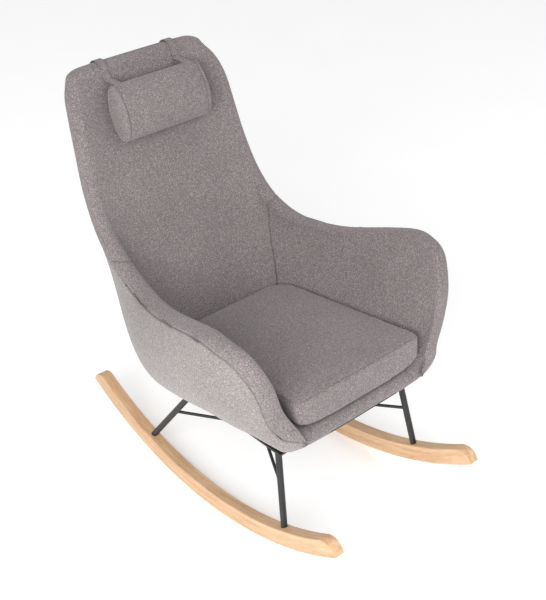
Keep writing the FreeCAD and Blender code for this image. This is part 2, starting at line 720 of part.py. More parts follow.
def make_cushion():
    outside = cushion_block(0)
    core = cushion_block(CUSHION_COVER)
    save("cushion_cover", outside.cut(core))
    save("cushion_foam", cushion_block(CUSHION_COVER + LAYER_GAP))
    zip_y = CUSHION_REAR_Y + LAYER_GAP
    zip_z = CUSHION_FRONT_Z + CUSHION_THICKNESS / 2 - ZIP_HEIGHT / 2
    strip = Part.makeBox(ZIP_LENGTH, ZIP_THICKNESS, ZIP_HEIGHT, Vector(-ZIP_LENGTH / 2, zip_y, zip_z))
    save("cushion_zip", tilt_with_seat(strip))
    width, depth, height = SLIDER_SIZE
    slider = Part.makeBox(width, depth, height, Vector(-ZIP_LENGTH / 2, zip_y + ZIP_THICKNESS + LAYER_GAP,
                                                       zip_z + (ZIP_HEIGHT - height) / 2))
    save("zip_slider", tilt_with_seat(slider))


# ---- head pillow and its straps -----------------------------------------------------------

def pillow_block(inset):
    """A long bolster with an oval section and rounded ends, leaning with the back."""
    height, depth = PILLOW_HEIGHT / 2 - inset, PILLOW_DEPTH / 2 - inset
    half = PILLOW_HALF_LENGTH - inset
    centre_y, centre_z = PILLOW_CENTRE
    oval = Part.Ellipse(Vector(-half, centre_y, centre_z + height), Vector(-half, centre_y + depth, centre_z),
                        Vector(-half, centre_y, centre_z))
    block = Part.Face(Part.Wire([oval.toShape()])).extrude(Vector(2 * half, 0, 0))
    block = block.makeFillet(PILLOW_END_ROUND - inset, [e for e in block.Edges if e.BoundBox.XLength < 1e-3])
    block.rotate(Vector(0, centre_y, centre_z), Vector(-1, 0, 0), PILLOW_LEAN_DEG)
    return block


def back_line(offset, first, last):
    """Points beside the back's centre line, at an offset from the middle of the wall."""
    count = 5
    angles = [first + (last - first) * i / (count - 1) for i in range(count)]
    points = [(angle, (0, station_value(4, angle) + offset)) for angle in angles]
    return [in_space(angle, point) for angle, point in points]


def band(near, far, low_deg, tail_deg, centre_x, width):
    """A strap over the back's top edge, between two offsets from the middle of the wall."""
    crest = back_line(0, low_deg, TOP_DEG)[-1]
    edges = []
    for offset, turn in ((near, 1), (far, -1)):
        inside = back_line(-offset, low_deg, TOP_DEG)
        outside = back_line(offset, TOP_DEG, tail_deg)
        over = Part.Arc(inside[-1], crest + Vector(0, 0, offset), outside[0]).toShape()
        edges += [smooth_curve(inside), over, smooth_curve(outside)][::turn]
    near_low, far_low = back_line(-near, low_deg, TOP_DEG)[0], back_line(-far, low_deg, TOP_DEG)[0]
    near_tail, far_tail = back_line(near, TOP_DEG, tail_deg)[-1], back_line(far, TOP_DEG, tail_deg)[-1]
    edges.insert(3, Part.LineSegment(near_tail, far_tail).toShape())
    edges.append(Part.LineSegment(far_low, near_low).toShape())
    strap = Part.Face(Part.Wire(edges)).extrude(Vector(width, 0, 0))
    strap.translate(Vector(centre_x - width / 2, 0, 0))
    return strap


def patch(near, far, first, last, centre_x, width):
    """A flat pad on the outside of the back."""
    inner, outer = back_line(near, first, last), back_line(far, first, last)
    outline = Part.Wire([smooth_curve(inner), Part.LineSegment(inner[-1], outer[-1]).toShape(),
                         smooth_curve(outer[::-1]), Part.LineSegment(outer[0], inner[0]).toShape()])
    pad = Part.Face(outline).extrude(Vector(width, 0, 0))
    pad.translate(Vector(centre_x - width / 2, 0, 0))
    return pad


def make_pillow():
    save("pillow_cover", pillow_block(0).cut(pillow_block(PILLOW_COVER)))
    save("pillow_filling", pillow_block(PILLOW_COVER + LAYER_GAP))
    near = WALL_HALF + STRAP_GAP + PATCH_THICKNESS
    far = near + STRAP_THICKNESS
    save_pair("pillow_strap", band(near, far, STRAP_LOW_DEG, STRAP_TAIL_DEG, STRAP_X, STRAP_WIDTH))
    pad = patch(WALL_HALF + STRAP_GAP / 2, near - STRAP_GAP / 2, STRAP_TAIL_DEG + 0.3, PATCH_TOP_DEG,
                STRAP_X, STRAP_WIDTH - 3)
    save("strap_patches", Part.makeCompound([pad, mirrored(pad)]))


os.makedirs(PARTS_FOLDER, exist_ok=True)
make_base()
seat_shell = make_shell()
bolts = [Bolt(y, seat_shell) for y in BOLT_Y]
make_mounting(make_envelope(), seat_shell, bolts)
save("seat_shell", bored(seat_shell, bolts, TEE_NUT_BARREL))
make_foam(bolts)
make_lining()
make_outside(bolts)
make_dust_cover()
make_cushion()
make_pillow()
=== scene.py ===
"""Looks of the rocking chair: upholstery, cushion, pillow, straps and materials round the CAD frame.

Metres, +Z up, the front of the chair faces -Y.
"""
import json
import math

import bmesh
import bpy
import numpy as np
from mathutils import Matrix, Vector, kdtree, noise


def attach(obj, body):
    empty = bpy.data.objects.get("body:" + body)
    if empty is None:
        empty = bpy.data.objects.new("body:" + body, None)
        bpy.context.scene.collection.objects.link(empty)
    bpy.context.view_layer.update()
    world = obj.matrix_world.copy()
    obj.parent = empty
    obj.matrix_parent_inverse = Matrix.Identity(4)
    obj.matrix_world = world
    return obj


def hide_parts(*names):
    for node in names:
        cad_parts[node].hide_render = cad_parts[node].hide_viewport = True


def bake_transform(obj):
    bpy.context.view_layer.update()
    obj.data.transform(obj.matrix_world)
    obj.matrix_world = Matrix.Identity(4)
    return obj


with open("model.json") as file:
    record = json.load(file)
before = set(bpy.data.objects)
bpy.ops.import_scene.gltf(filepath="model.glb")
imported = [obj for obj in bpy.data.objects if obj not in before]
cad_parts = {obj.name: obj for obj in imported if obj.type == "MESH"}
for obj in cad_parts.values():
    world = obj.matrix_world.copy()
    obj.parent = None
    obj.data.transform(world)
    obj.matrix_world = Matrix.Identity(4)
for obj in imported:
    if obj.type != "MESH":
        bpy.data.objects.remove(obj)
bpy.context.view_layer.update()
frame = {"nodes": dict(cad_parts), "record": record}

MM = 0.001

# ---- sizes --------------------------------------------------------------------------------

# The tub's sections fan out from a line across the chair; angles in degrees from straight down.
FAN_Y = -0.489
FAN_Z = 0.978
# angle, then in mm: rim half width, rim radius, corner half width, centre radius, inside corner
TUB_STATIONS = np.array((
    (14.6, 232, 596, 250, 645, 208),
    (17, 263, 546, 270, 657, 226),
    (20, 281, 490, 294, 672, 230),
    (24, 295, 455, 320, 692, 228),
    (30, 312, 432, 344, 728, 222),
    (36, 323, 441, 356, 796, 214),
    (42, 323, 474, 349, 886, 210),
    (47, 309, 553, 328, 920, 208),
    (52, 281, 676, 300, 915, 207),
    (57, 254, 775, 268, 906, 205),
    (62, 242, 836, 240, 900, 203),
    (67, 237, 870, 220, 898, 190),
    (73, 231, 889, 206, 903, 174),
    (80, 222, 903, 188, 920, 158),
    (84.5, 215, 919, 168, 942, 144),
    (87.3, 203, 942, 152, 959, 134),
    (89.3, 180, 966, 134, 972, 120),
), float)
FRONT_DEG, TOP_DEG = TUB_STATIONS[0, 0], TUB_STATIONS[-1, 0]
FRONT_NOSE_DEG = 2.0           # the wall's edge is rounded over this much of the fan
TOP_NOSE_DEG = 1.3
NOSE_NARROWING = 0.042         # the tub narrows round its noses, which rounds its corners
NOSE_LEVELLING = 0.6           # and its section flattens by this share
WALL_HALF = 0.0235             # half the padded wall's thickness
CORNER_PULL = 0.9              # how far a section runs level before it turns up
WALL_PULL = 0.25               # how high above the seat the turn reaches
RIM_SEAM = 0.006               # outer seam, measured from the rim's middle
TOP_SEAM_DEG = 88.9
CLOTH = 0.002

# Seam between back and arm: place along the section, as in tub_surface, and its angle
INNER_SEAM = ((0.0, 47.0), (0.42, 47.0), (0.52, 51.3), (0.61, 54.6), (0.74, 57.5), (1.0, 61.0), (3.0, 64.5))
DECK_SEAM = 0.42               # where the arm panels meet the seat deck
UNDERSIDE_EDGE = 3.75          # where the outer panels end under the seat
BASE_END_DEG = 47.0            # the black cloth under the seat ends here, at the foot of the back
BACK_BLEND_DEG = 80.0          # the back panel's rows slant with the inner seam below this angle
NOSE_ROWS = 8

SEAM_DEPTH = 0.0018
SEAM_WIDTH = 0.0032
HEM = 0.005                    # how far the panels' edges are folded in
PUCKER = 0.0005
PUCKER_REACH = 0.016
PUCKER_SCALE = 70.0
SEAM_STEP = 0.0015             # spacing of the points that stand for a seam
GUIDE_STEP = 0.003             # and of the looser rows that guide a stuffed piece's seams
MERGE = 0.0003                 # points of a panel nearer than this are one
CURVE_POINTS = 200             # along each seam line

CUSHION_SLOPE = math.radians(6.0)
CUSHION_PIVOT = Vector((0, -0.342, 0.392))
CUSHION_FRONT_HALF = 0.207
CUSHION_REAR_HALF = 0.178
CUSHION_LENGTH = 0.466
CUSHION_THICKNESS = 0.076
CUSHION_EDGE_INSET = 0.002     # the upper seam lies this far in and down
CUSHION_EDGE_HALF = 0.192      # half the length of the lower front seam
CUSHION_EDGE_RISE = ((0.095, 0.133, 0.165, 0.190, 0.210), (-0.009, -0.007, -0.002, 0.008, 0.025))
CUSHION_FRONT_CORNER = 0.028
CUSHION_REAR_CORNER = 0.060

PILLOW_CENTRE = Vector((0, 0.382, 0.897))
PILLOW_LEAN = math.radians(21.0)
PILLOW_HALF = 0.134
PILLOW_HEIGHT = 0.146
PILLOW_DEPTH = 0.072
PILLOW_DROP = 0.006            # the pillow's weight pulls its straps down
PILLOW_SAG = 0.008             # and its top edge sags between them
PILLOW_SPREAD = 0.03           # it is this share longer at its lower edge
PILLOW_CAP = 0.014             # from each end to the seam of its end panel

STUFFED_SEAM_DEPTH = 0.0020
PRESSURE = 4.0                 # of the stuffing

STRAP_X = 0.106
STRAP_WIDTH = 0.021
STRAP_THICKNESS = 0.002
STRAP_GAP = 0.0024             # from the back's cover to the strap's middle
STRAP_FRONT_GAP = 0.003        # the strap stands this much further off in front
STRAP_TAIL_DEG = 83.9
STRAP_TOP_DEG = 88.9
STITCH_INSET = 0.0034          # from the strap's edge to its row of stitches
STITCH_WIDTH = 0.0007          # width of the groove that the stitches draw in
STITCH_SHADE_WIDTH = 0.0006           # and of the painted shade line in that groove
HINGE = Vector((0, 0.483, 0.966))

ROCKER_CENTRE = (0.0, 0.014, 0.92)  # of the rockers' curve, which their grain follows
GRAIN_STRETCH = 0.07           # metres of grain pattern per radian along the rocker

CAMERA_PLACE = (-1.604, -1.767, 2.0517)
CAMERA_AZIMUTH = math.radians(-42.443)
CAMERA_ELEVATION = math.radians(33.118)
CAMERA_ROLL = 0.007
CAMERA_LENS = 70.0
CAMERA_SENSOR = 36.0
CAMERA_SHIFT = (0.0089, -0.0032)
FLOOR_HALF = 8.0
LIGHT_TARGET = (0, 0, 0.4)


# ---- tub surface --------------------------------------------------------------------------

def station(column, angle):
    """One column of TUB_STATIONS in metres at each angle, on a smooth curve through the stations."""
    knots, values = TUB_STATIONS[:, 0], TUB_STATIONS[:, column] * MM
    order, last = np.arange(len(knots)), len(knots) - 1
    low, high = np.maximum(order - 1, 0), np.minimum(order + 1, last)
    slopes = (values[high] - values[low]) / (knots[high] - knots[low])
    angle = np.clip(angle, knots[0], knots[-1])
    i = np.clip(np.searchsorted(knots, angle, side="right") - 1, 0, last - 1)
    span = knots[i + 1] - knots[i]
    t = (angle - knots[i]) / span
    return ((2 * t**3 - 3 * t**2 + 1) * values[i] + (t**3 - 2 * t**2 + t) * span * slopes[i]
            + (3 * t**2 - 2 * t**3) * values[i + 1] + (t**3 - t**2) * span * slopes[i + 1])


def nose(angle):
    """How far each angle is round a nose: 0 on the wall, 1 at the edge."""
    past = np.maximum((FRONT_DEG - angle) / FRONT_NOSE_DEG, (angle - TOP_DEG) / TOP_NOSE_DEG)
    return np.clip(past, 0, 1)


def half_wall(angle):
    """Half the wall's thickness, which rounds off to nothing along a nose."""
    return WALL_HALF * np.sqrt(1 - nose(angle)**2)


def bezier(corners, t):
    """Points of a cubic curve through its four control points."""
    weights = ((1 - t)**3, 3 * t * (1 - t)**2, 3 * t * t * (1 - t), t**3)
    return (sum(w * corner[0] for w, corner in zip(weights, corners)),
            sum(w * corner[1] for w, corner in zip(weights, corners)))


def bezier_normal(corners, t):
    """The curve's unit normals, which point out of the tub."""
    weights = ((1 - t)**2, 2 * t * (1 - t), t * t)
    run, rise = (sum(w * (corners[i + 1][axis] - corners[i][axis]) for i, w in enumerate(weights))
                 for axis in (0, 1))
    length = np.hypot(run, rise)
    return -rise / length, run / length


def wall_corners(angle):
    """Control points of the wall's middle line, from the centre out to the rim."""
    rim_x, rim_r, corner_x, centre_r = (station(c, angle) for c in (1, 2, 3, 4))
    rounding = 1 - np.sqrt(1 - nose(angle)**2)
    rim_x, corner_x = rim_x - NOSE_NARROWING * rounding, corner_x - NOSE_NARROWING * rounding
    rim_r = rim_r + NOSE_LEVELLING * (centre_r - rim_r) * rounding
    shoulder_r = centre_r - WALL_PULL * (centre_r - rim_r)
    return (0 * rim_x, centre_r), (CORNER_PULL * corner_x, centre_r), (corner_x, shoulder_r), (rim_x, rim_r)


def lining_corners(angle):
    """Control points of the wall's inside face."""
    wall = wall_corners(angle)
    nx, nr = bezier_normal(wall, 1.0)
    size = half_wall(angle)
    rim = wall[3][0] - size * nx, wall[3][1] - size * nr
    seat_r = wall[0][1] - size
    corner_x = station(5, angle)
    corner_x = corner_x + (wall[2][0] - corner_x) * nose(angle)**2
    shoulder_r = seat_r - WALL_PULL * (seat_r - rim[1])
    return (0 * seat_r, seat_r), (CORNER_PULL * corner_x, seat_r), (corner_x, shoulder_r), rim


def make_seam_table():
    """Bezier parameter of the outer seam for a range of angles."""
    angles = np.linspace(FRONT_DEG, TOP_DEG, 160)
    t = np.linspace(0, 1, 400)
    found = []
    for angle in angles:
        x, r = bezier(wall_corners(np.full(t.shape, angle)), t)
        length = np.append(np.cumsum(np.hypot(np.diff(x), np.diff(r))[::-1])[::-1], 0)
        found.append(np.interp(RIM_SEAM, length[::-1], t[::-1]))
    return angles, np.array(found)


SEAM_ANGLES, SEAM_T = make_seam_table()


def tub_surface(angle, s):
    """Points on the tub's skin.  |s| runs 0-1 up the inside, 1-2 round the rim's roll, 2-3 down
    the outside to the seam, and 3-4 on down to the underside's centre line."""
    side, s = np.sign(s), np.abs(s)
    wall = wall_corners(angle)
    size = half_wall(angle)
    inside_x, inside_r = bezier(lining_corners(angle), np.clip(s, 0, 1))
    nx, nr = bezier_normal(wall, 1.0)
    turn = (np.clip(s, 1, 2) - 1) * math.pi
    roll_x = wall[3][0] - size * (nx * np.cos(turn) - nr * np.sin(turn))
    roll_r = wall[3][1] - size * (nr * np.cos(turn) + nx * np.sin(turn))
    seam_t = np.interp(angle, SEAM_ANGLES, SEAM_T)
    t = np.where(s < 3, 1 - (1 - seam_t) * (np.clip(s, 2, 3) - 2), seam_t * (4 - np.clip(s, 3, 4)))
    wall_x, wall_r = bezier(wall, t)
    wnx, wnr = bezier_normal(wall, t)
    x = np.where(s <= 1, inside_x, np.where(s < 2, roll_x, wall_x + size * wnx))
    r = np.where(s <= 1, inside_r, np.where(s < 2, roll_r, wall_r + size * wnr))
    turn = np.radians(angle)
    return np.stack((x * side, FAN_Y + r * np.sin(turn), FAN_Z - r * np.cos(turn)), -1)


def spread(*stops):
    """Values through (value, count) stops: count steps from each value to the next."""
    values = [stops[0][0]]
    for (start, count), (end, _) in zip(stops, stops[1:]):
        values += list(np.linspace(start, end, count + 1)[1:])
    return np.array(values)


def front_nose(count):
    """Angles round the front nose, from its edge to where the wall has its full thickness."""
    turn = np.linspace(0, math.pi / 2, count + 1)[:-1]
    return FRONT_DEG - FRONT_NOSE_DEG * np.cos(turn)


def top_nose(count):
    """Angles round the top nose, out to its edge."""
    turn = np.linspace(0, math.pi / 2, count + 1)[1:]
    return TOP_DEG + TOP_NOSE_DEG * np.sin(turn)


def seam_angle(s):
    """Angle of the seam between back and arm at each place along the section."""
    shares, angles = zip(*INNER_SEAM)
    return np.interp(np.abs(s), shares, angles)


# ---- mesh helpers -------------------------------------------------------------------------

def grid_faces(rows, columns, start, flip):
    """Four-sided faces over a grid of points, the first of which has the number start."""
    faces = []
    for i in range(rows - 1):
        for j in range(columns - 1):
            a = start + i * columns + j
            quad = (a, a + 1, a + columns + 1, a + columns)
            faces.append(quad[::-1] if flip else quad)
    return faces


def sheet_object(name, grids, seams, material):
    """A cloth panel from grids of points: merged, pinched at its seams and given thickness."""
    points, faces = [], []
    for grid, flip in grids:
        faces += grid_faces(grid.shape[0], grid.shape[1], len(points), flip)
        points += [tuple(p) for p in grid.reshape(-1, 3)]
    mesh = bpy.data.meshes.new(name)
    mesh.from_pydata(points, [], faces)
    bm = bmesh.new()
    bm.from_mesh(mesh)
    bmesh.ops.remove_doubles(bm, verts=bm.verts, dist=MERGE)
    bmesh.ops.dissolve_degenerate(bm, edges=bm.edges, dist=0.00005)
    for _ in range(3):
        inner = [v for v in bm.verts if not v.is_boundary]
        bmesh.ops.smooth_vert(bm, verts=inner, factor=0.5,
                              use_axis_x=True, use_axis_y=True, use_axis_z=True)
    bm.normal_update()
    bm.to_mesh(mesh)
    bm.free()
    piece = bpy.data.objects.new(name, mesh)
    bpy.context.scene.collection.objects.link(piece)
    pinch(piece, seams, SEAM_DEPTH, SEAM_WIDTH)
    fold_edges(mesh)
    mesh.shade_smooth()
    solid = piece.modifiers.new("thickness", "SOLIDIFY")
    solid.thickness = CLOTH
    solid.offset = -1
    mesh.materials.append(material)
    return piece


def fold_edges(mesh):
    """Turns the panel's open edges inwards, so that no gap shows along a seam."""
    bm = bmesh.new()
    bm.from_mesh(mesh)
    bm.normal_update()
    normals = {vertex.index: vertex.normal.copy() for vertex in bm.verts if vertex.is_boundary}
    edges = [edge for edge in bm.edges if edge.is_boundary]
    grown = bmesh.ops.extrude_edge_only(bm, edges=edges)["geom"]
    tree = kdtree.KDTree(len(normals))
    bm.verts.ensure_lookup_table()
    for index in normals:
        tree.insert(bm.verts[index].co, index)
    tree.balance()
    for vertex in (item for item in grown if isinstance(item, bmesh.types.BMVert)):
        vertex.co -= normals[tree.find(vertex.co)[1]] * HEM
    bm.normal_update()
    bm.to_mesh(mesh)
    bm.free()


def seam_tree(seams):
    """Search tree over the seams' points."""
    points = [p for seam in seams for p in seam]
    tree = kdtree.KDTree(len(points))
    for i, point in enumerate(points):
        tree.insert(Vector(point), i)
    tree.balance()
    return tree


def resample(points, step):
    """Points along a polyline, a step apart."""
    points = np.array(points, float)
    lengths = np.append(0, np.cumsum(np.linalg.norm(np.diff(points, axis=0), axis=1)))
    at = np.linspace(0, lengths[-1], max(2, int(lengths[-1] / step)))
    return np.stack([np.interp(at, lengths, points[:, axis]) for axis in range(3)], -1)


def pinch(piece, seams, depth, width):
    """Pulls the surface in along the seams, puckers it beside them and stores a mask of painted shade along
    them for the material.
    """
    mesh = piece.data
    tree = seam_tree([resample(seam, SEAM_STEP) for seam in seams])
    painted_shade = mesh.attributes.new("seam", "FLOAT", "POINT")
    normals = [v.normal.copy() for v in mesh.vertices]
    for vertex, normal in zip(mesh.vertices, normals):
        distance = tree.find(vertex.co)[2]
        near = math.exp(-(distance / width)**2)
        pucker = math.exp(-distance / PUCKER_REACH) * noise.noise(vertex.co * PUCKER_SCALE) * PUCKER
        vertex.co -= normal * (depth * near + pucker)
        # painted shade: this mask darkens the fabric along the seam's groove
        painted_shade.data[vertex.index].value = math.exp(-(distance / (0.5 * width))**2)
    mesh.update()


# ---- materials ----------------------------------------------------------------------------

class Nodes:
    """Small helper that builds a node tree."""

    def __init__(self, name):
        self.material = bpy.data.materials.new(name)
        self.material.use_nodes = True
        self.tree = self.material.node_tree
        self.shader = self.tree.nodes["Principled BSDF"]
        self.place = self.add("ShaderNodeTexCoord").outputs["Object"]

    def add(self, kind, **settings):
        node = self.tree.nodes.new(kind)
        for key, value in settings.items():
            setattr(node, key, value)
        return node

    def link(self, source, target):
        self.tree.links.new(source, target)

    def noise(self, scale, detail=4.0, roughness=0.55, vector=None):
        node = self.add("ShaderNodeTexNoise")
        node.inputs["Scale"].default_value = scale
        node.inputs["Detail"].default_value = detail
        node.inputs["Roughness"].default_value = roughness
        self.link(vector or self.place, node.inputs["Vector"])
        return node.outputs["Fac"]

    def voronoi(self, scale, output="Distance", vector=None, **settings):
        node = self.add("ShaderNodeTexVoronoi", **settings)
        node.inputs["Scale"].default_value = scale
        self.link(vector or self.place, node.inputs["Vector"])
        return node.outputs[output]

    def wave(self, scale, direction, distortion=0.6):
        node = self.add("ShaderNodeTexWave", bands_direction=direction)
        node.inputs["Scale"].default_value = scale
        node.inputs["Distortion"].default_value = distortion
        self.link(self.place, node.inputs["Vector"])
        return node.outputs["Fac"]

    def ramp(self, source, stops):
        node = self.add("ShaderNodeValToRGB")
        elements = node.color_ramp.elements
        while len(elements) < len(stops):
            elements.new(0.5)
        for element, (at, colour) in zip(elements, stops):
            element.position = at
            element.color = (*colour, 1.0)
        self.link(source, node.inputs["Fac"])
        return node.outputs["Color"]

    def math(self, operation, a, b):
        node = self.add("ShaderNodeMath", operation=operation)
        for socket, value in zip(node.inputs, (a, b)):
            if isinstance(value, (int, float)):
                socket.default_value = value
            else:
                self.link(value, socket)
        return node.outputs["Value"]

    def mix(self, blend, factor, a, b):
        node = self.add("ShaderNodeMix", data_type="RGBA", blend_type=blend)
        for socket, value in ((node.inputs["Factor"], factor), (node.inputs["A"], a), (node.inputs["B"], b)):
            if isinstance(value, (int, float)):
                socket.default_value = value
            elif isinstance(value, tuple):
                socket.default_value = (*value, 1.0)
            else:
                self.link(value, socket)
        return node.outputs["Result"]

    def bump(self, height, strength, distance):
        node = self.add("ShaderNodeBump")
        node.inputs["Strength"].default_value = strength
        node.inputs["Distance"].default_value = distance
        self.link(height, node.inputs["Height"])
        self.link(node.outputs["Normal"], self.shader.inputs["Normal"])

    def colour(self, source):
        self.link(source, self.shader.inputs["Base Color"])

    def roughness(self, source, low, high):
        node = self.add("ShaderNodeMapRange")
        node.inputs["To Min"].default_value = low
        node.inputs["To Max"].default_value = high
        self.link(source, node.inputs["Value"])
        self.link(node.outputs["Result"], self.shader.inputs["Roughness"])


def melange_fabric(name, dark, middle, light):
    """Felted wool-look weave: fine basket threads, mottled yarn and scattered light and dark flecks, with
    painted shade along seams.
    """
    n = Nodes(name)
    threads = n.math("MULTIPLY", n.wave(260.0, "DIAGONAL"), n.wave(300.0, "Z"))
    yarn = n.voronoi(620.0, distance="CHEBYCHEV")
    mottle = n.noise(330.0, 3.0, 0.65)
    base = n.ramp(mottle, ((0.32, dark), (0.5, middle), (0.68, light)))
    fleck = n.voronoi(620.0, output="Color")
    fleck_value = n.add("ShaderNodeSeparateColor")
    n.link(fleck, fleck_value.inputs["Color"])
    pale = n.ramp(fleck_value.outputs["Red"], ((0.80, (0, 0, 0)), (0.97, (1, 1, 1))))
    deep = n.ramp(fleck_value.outputs["Green"], ((0.78, (0, 0, 0)), (0.97, (1, 1, 1))))
    with_pale = n.mix("MIX", n.math("MULTIPLY", pale, 0.65), base, tuple(c * 1.5 for c in light))
    with_deep = n.mix("MIX", n.math("MULTIPLY", deep, 0.65), with_pale, tuple(c * 0.55 for c in dark))
    cloud = n.ramp(n.noise(6.0, 2.0), ((0.3, (0.93, 0.93, 0.93)), (0.7, (1.05, 1.05, 1.05))))
    clouded = n.mix("MULTIPLY", 1.0, with_deep, cloud)
    # painted shade: the seam mask mixes a near-black tone into the fabric along seam grooves and stitch rows
    seam = n.add("ShaderNodeAttribute", attribute_name="seam").outputs["Fac"]
    n.colour(n.mix("MIX", n.math("MULTIPLY", seam, 0.45), clouded, tuple(c * 0.3 for c in dark)))
    height = n.math("ADD", n.math("MULTIPLY", threads, 0.5), n.math("ADD", yarn, mottle))
    n.bump(height, 0.55, 0.0008)
    n.roughness(mottle, 0.86, 1.0)
    n.shader.inputs["Sheen Weight"].default_value = 0.25
    n.shader.inputs["Sheen Roughness"].default_value = 0.5
    n.shader.inputs["Specular IOR Level"].default_value = 0.15
    return n.material


def beech(name):
    """Pale beech whose grain follows the rocker's curve, with short dark ray flecks."""
    n = Nodes(name)
    centre = n.add("ShaderNodeVectorMath", operation="SUBTRACT")
    n.link(n.place, centre.inputs[0])
    centre.inputs[1].default_value = ROCKER_CENTRE
    split = n.add("ShaderNodeSeparateXYZ")
    n.link(centre.outputs["Vector"], split.inputs["Vector"])
    radius = n.math("SQRT", n.math("ADD", n.math("POWER", split.outputs["Y"], 2.0),
                                   n.math("POWER", split.outputs["Z"], 2.0)), 0.0)
    along = n.math("ARCTAN2", split.outputs["Y"], n.math("MULTIPLY", split.outputs["Z"], -1.0))
    grain_place = n.add("ShaderNodeCombineXYZ")
    n.link(split.outputs["X"], grain_place.inputs["X"])
    n.link(n.math("MULTIPLY", along, GRAIN_STRETCH), grain_place.inputs["Y"])
    n.link(radius, grain_place.inputs["Z"])
    vector = grain_place.outputs["Vector"]
    grain = n.noise(90.0, 6.0, 0.6, vector)
    fine = n.noise(520.0, 3.0, 0.6, vector)
    base = n.ramp(grain, ((0.3, (0.56, 0.33, 0.17)), (0.52, (0.70, 0.44, 0.25)), (0.75, (0.80, 0.55, 0.34))))
    pores = n.ramp(fine, ((0.36, (0.72, 0.72, 0.72)), (0.5, (1.0, 1.0, 1.0))))
    flecks = n.ramp(n.voronoi(330.0, vector=vector), ((0.05, (0.62, 0.55, 0.5)), (0.22, (1.0, 1.0, 1.0))))
    n.colour(n.mix("MULTIPLY", 0.55, n.mix("MULTIPLY", 0.6, base, pores), flecks))
    n.bump(n.math("ADD", grain, n.math("MULTIPLY", fine, 0.6)), 0.12, 0.0006)
    n.roughness(fine, 0.36, 0.52)
    n.shader.inputs["Coat Weight"].default_value = 0.12
    n.shader.inputs["Coat Roughness"].default_value = 0.3
    return n.material


def powder_coat(name):
    """Black powder coat: fine orange peel and slightly paler worn patches."""
    n = Nodes(name)
    peel = n.noise(900.0, 2.0)
    wear = n.noise(38.0, 5.0, 0.7)
    n.colour(n.ramp(wear, ((0.35, (0.012, 0.012, 0.013)), (0.72, (0.026, 0.026, 0.028)))))
    n.bump(peel, 0.25, 0.0002)
    n.roughness(wear, 0.36, 0.55)
    return n.material


def zinc(name):
    """Galvanised steel with its crystal pattern."""
    n = Nodes(name)
    spangle = n.voronoi(420.0)
    n.colour(n.ramp(spangle, ((0.1, (0.42, 0.42, 0.41)), (0.7, (0.62, 0.62, 0.6)))))
    n.shader.inputs["Metallic"].default_value = 1.0
    n.roughness(spangle, 0.3, 0.5)
    n.bump(n.noise(700.0), 0.2, 0.0001)
    return n.material


def gunmetal(name):
    """Dark plated metal, rubbed bright in places."""
    n = Nodes(name)
    rub = n.noise(600.0, 3.0)
    n.colour(n.ramp(rub, ((0.3, (0.10, 0.095, 0.09)), (0.7, (0.24, 0.23, 0.22)))))
    n.shader.inputs["Metallic"].default_value = 1.0
    n.roughness(rub, 0.28, 0.5)
    return n.material


def moulded_plastic(name):
    """Black moulded plastic with a fine grain."""
    n = Nodes(name)
    grain = n.noise(500.0, 3.0)
    n.colour(n.ramp(grain, ((0.3, (0.02, 0.02, 0.02)), (0.7, (0.05, 0.05, 0.05)))))
    n.roughness(grain, 0.5, 0.7)
    n.bump(grain, 0.3, 0.0003)
    return n.material


def foam(name):
    """Yellowish open-cell foam."""
    n = Nodes(name)
    cells = n.voronoi(700.0)
    n.colour(n.ramp(cells, ((0.1, (0.5, 0.44, 0.3)), (0.6, (0.8, 0.74, 0.58)))))
    n.bump(cells, 0.6, 0.0005)
    n.roughness(cells, 0.85, 1.0)
    return n.material


def spun_cloth(name):
    """Black spun-bonded cloth with its regular pressed dots."""
    n = Nodes(name)
    dots = n.voronoi(500.0, distance="EUCLIDEAN")
    fibre = n.noise(800.0, 4.0)
    n.colour(n.ramp(fibre, ((0.3, (0.008, 0.008, 0.008)), (0.7, (0.03, 0.03, 0.03)))))
    n.bump(n.math("ADD", dots, n.math("MULTIPLY", fibre, 0.5)), 0.5, 0.0004)
    n.roughness(fibre, 0.7, 0.95)
    return n.material


def woven_tape(name):
    """Dark ribbed tape with a fuzzy face."""
    n = Nodes(name)
    ribs = n.wave(420.0, "X", 0.2)
    fuzz = n.noise(900.0, 4.0)
    shade = n.math("MULTIPLY", ribs, fuzz)
    n.colour(n.ramp(shade, ((0.1, (0.03, 0.027, 0.025)), (0.6, (0.11, 0.10, 0.095)))))
    n.bump(n.math("ADD", ribs, fuzz), 0.6, 0.0004)
    n.roughness(fuzz, 0.75, 1.0)
    return n.material


MATERIALS = {
    "inner_fabric": melange_fabric("inner_fabric", (0.145, 0.122, 0.122), (0.215, 0.185, 0.187),
                                   (0.310, 0.272, 0.274)),
    "outer_fabric": melange_fabric("outer_fabric", (0.200, 0.180, 0.174), (0.275, 0.248, 0.240),
                                   (0.365, 0.335, 0.325)),
    "beech": beech("beech"),
    "black_steel": powder_coat("black_steel"),
    "zinc_steel": zinc("zinc_steel"),
    "moulded_shell": moulded_plastic("moulded_shell"),
    "foam": foam("foam"),
    "black_lining": spun_cloth("black_lining"),
    "hook_and_loop": woven_tape("hook_and_loop"),
    "slider_metal": gunmetal("slider_metal"),
}


def dress_frame():
    """Gives every CAD node its procedural material."""
    for row in frame["record"]["subparts"]:
        node = frame["nodes"][row["node"]]
        node.data.materials.clear()
        node.data.materials.append(MATERIALS[row["material_slot"]])


# ---- upholstery ---------------------------------------------------------------------------

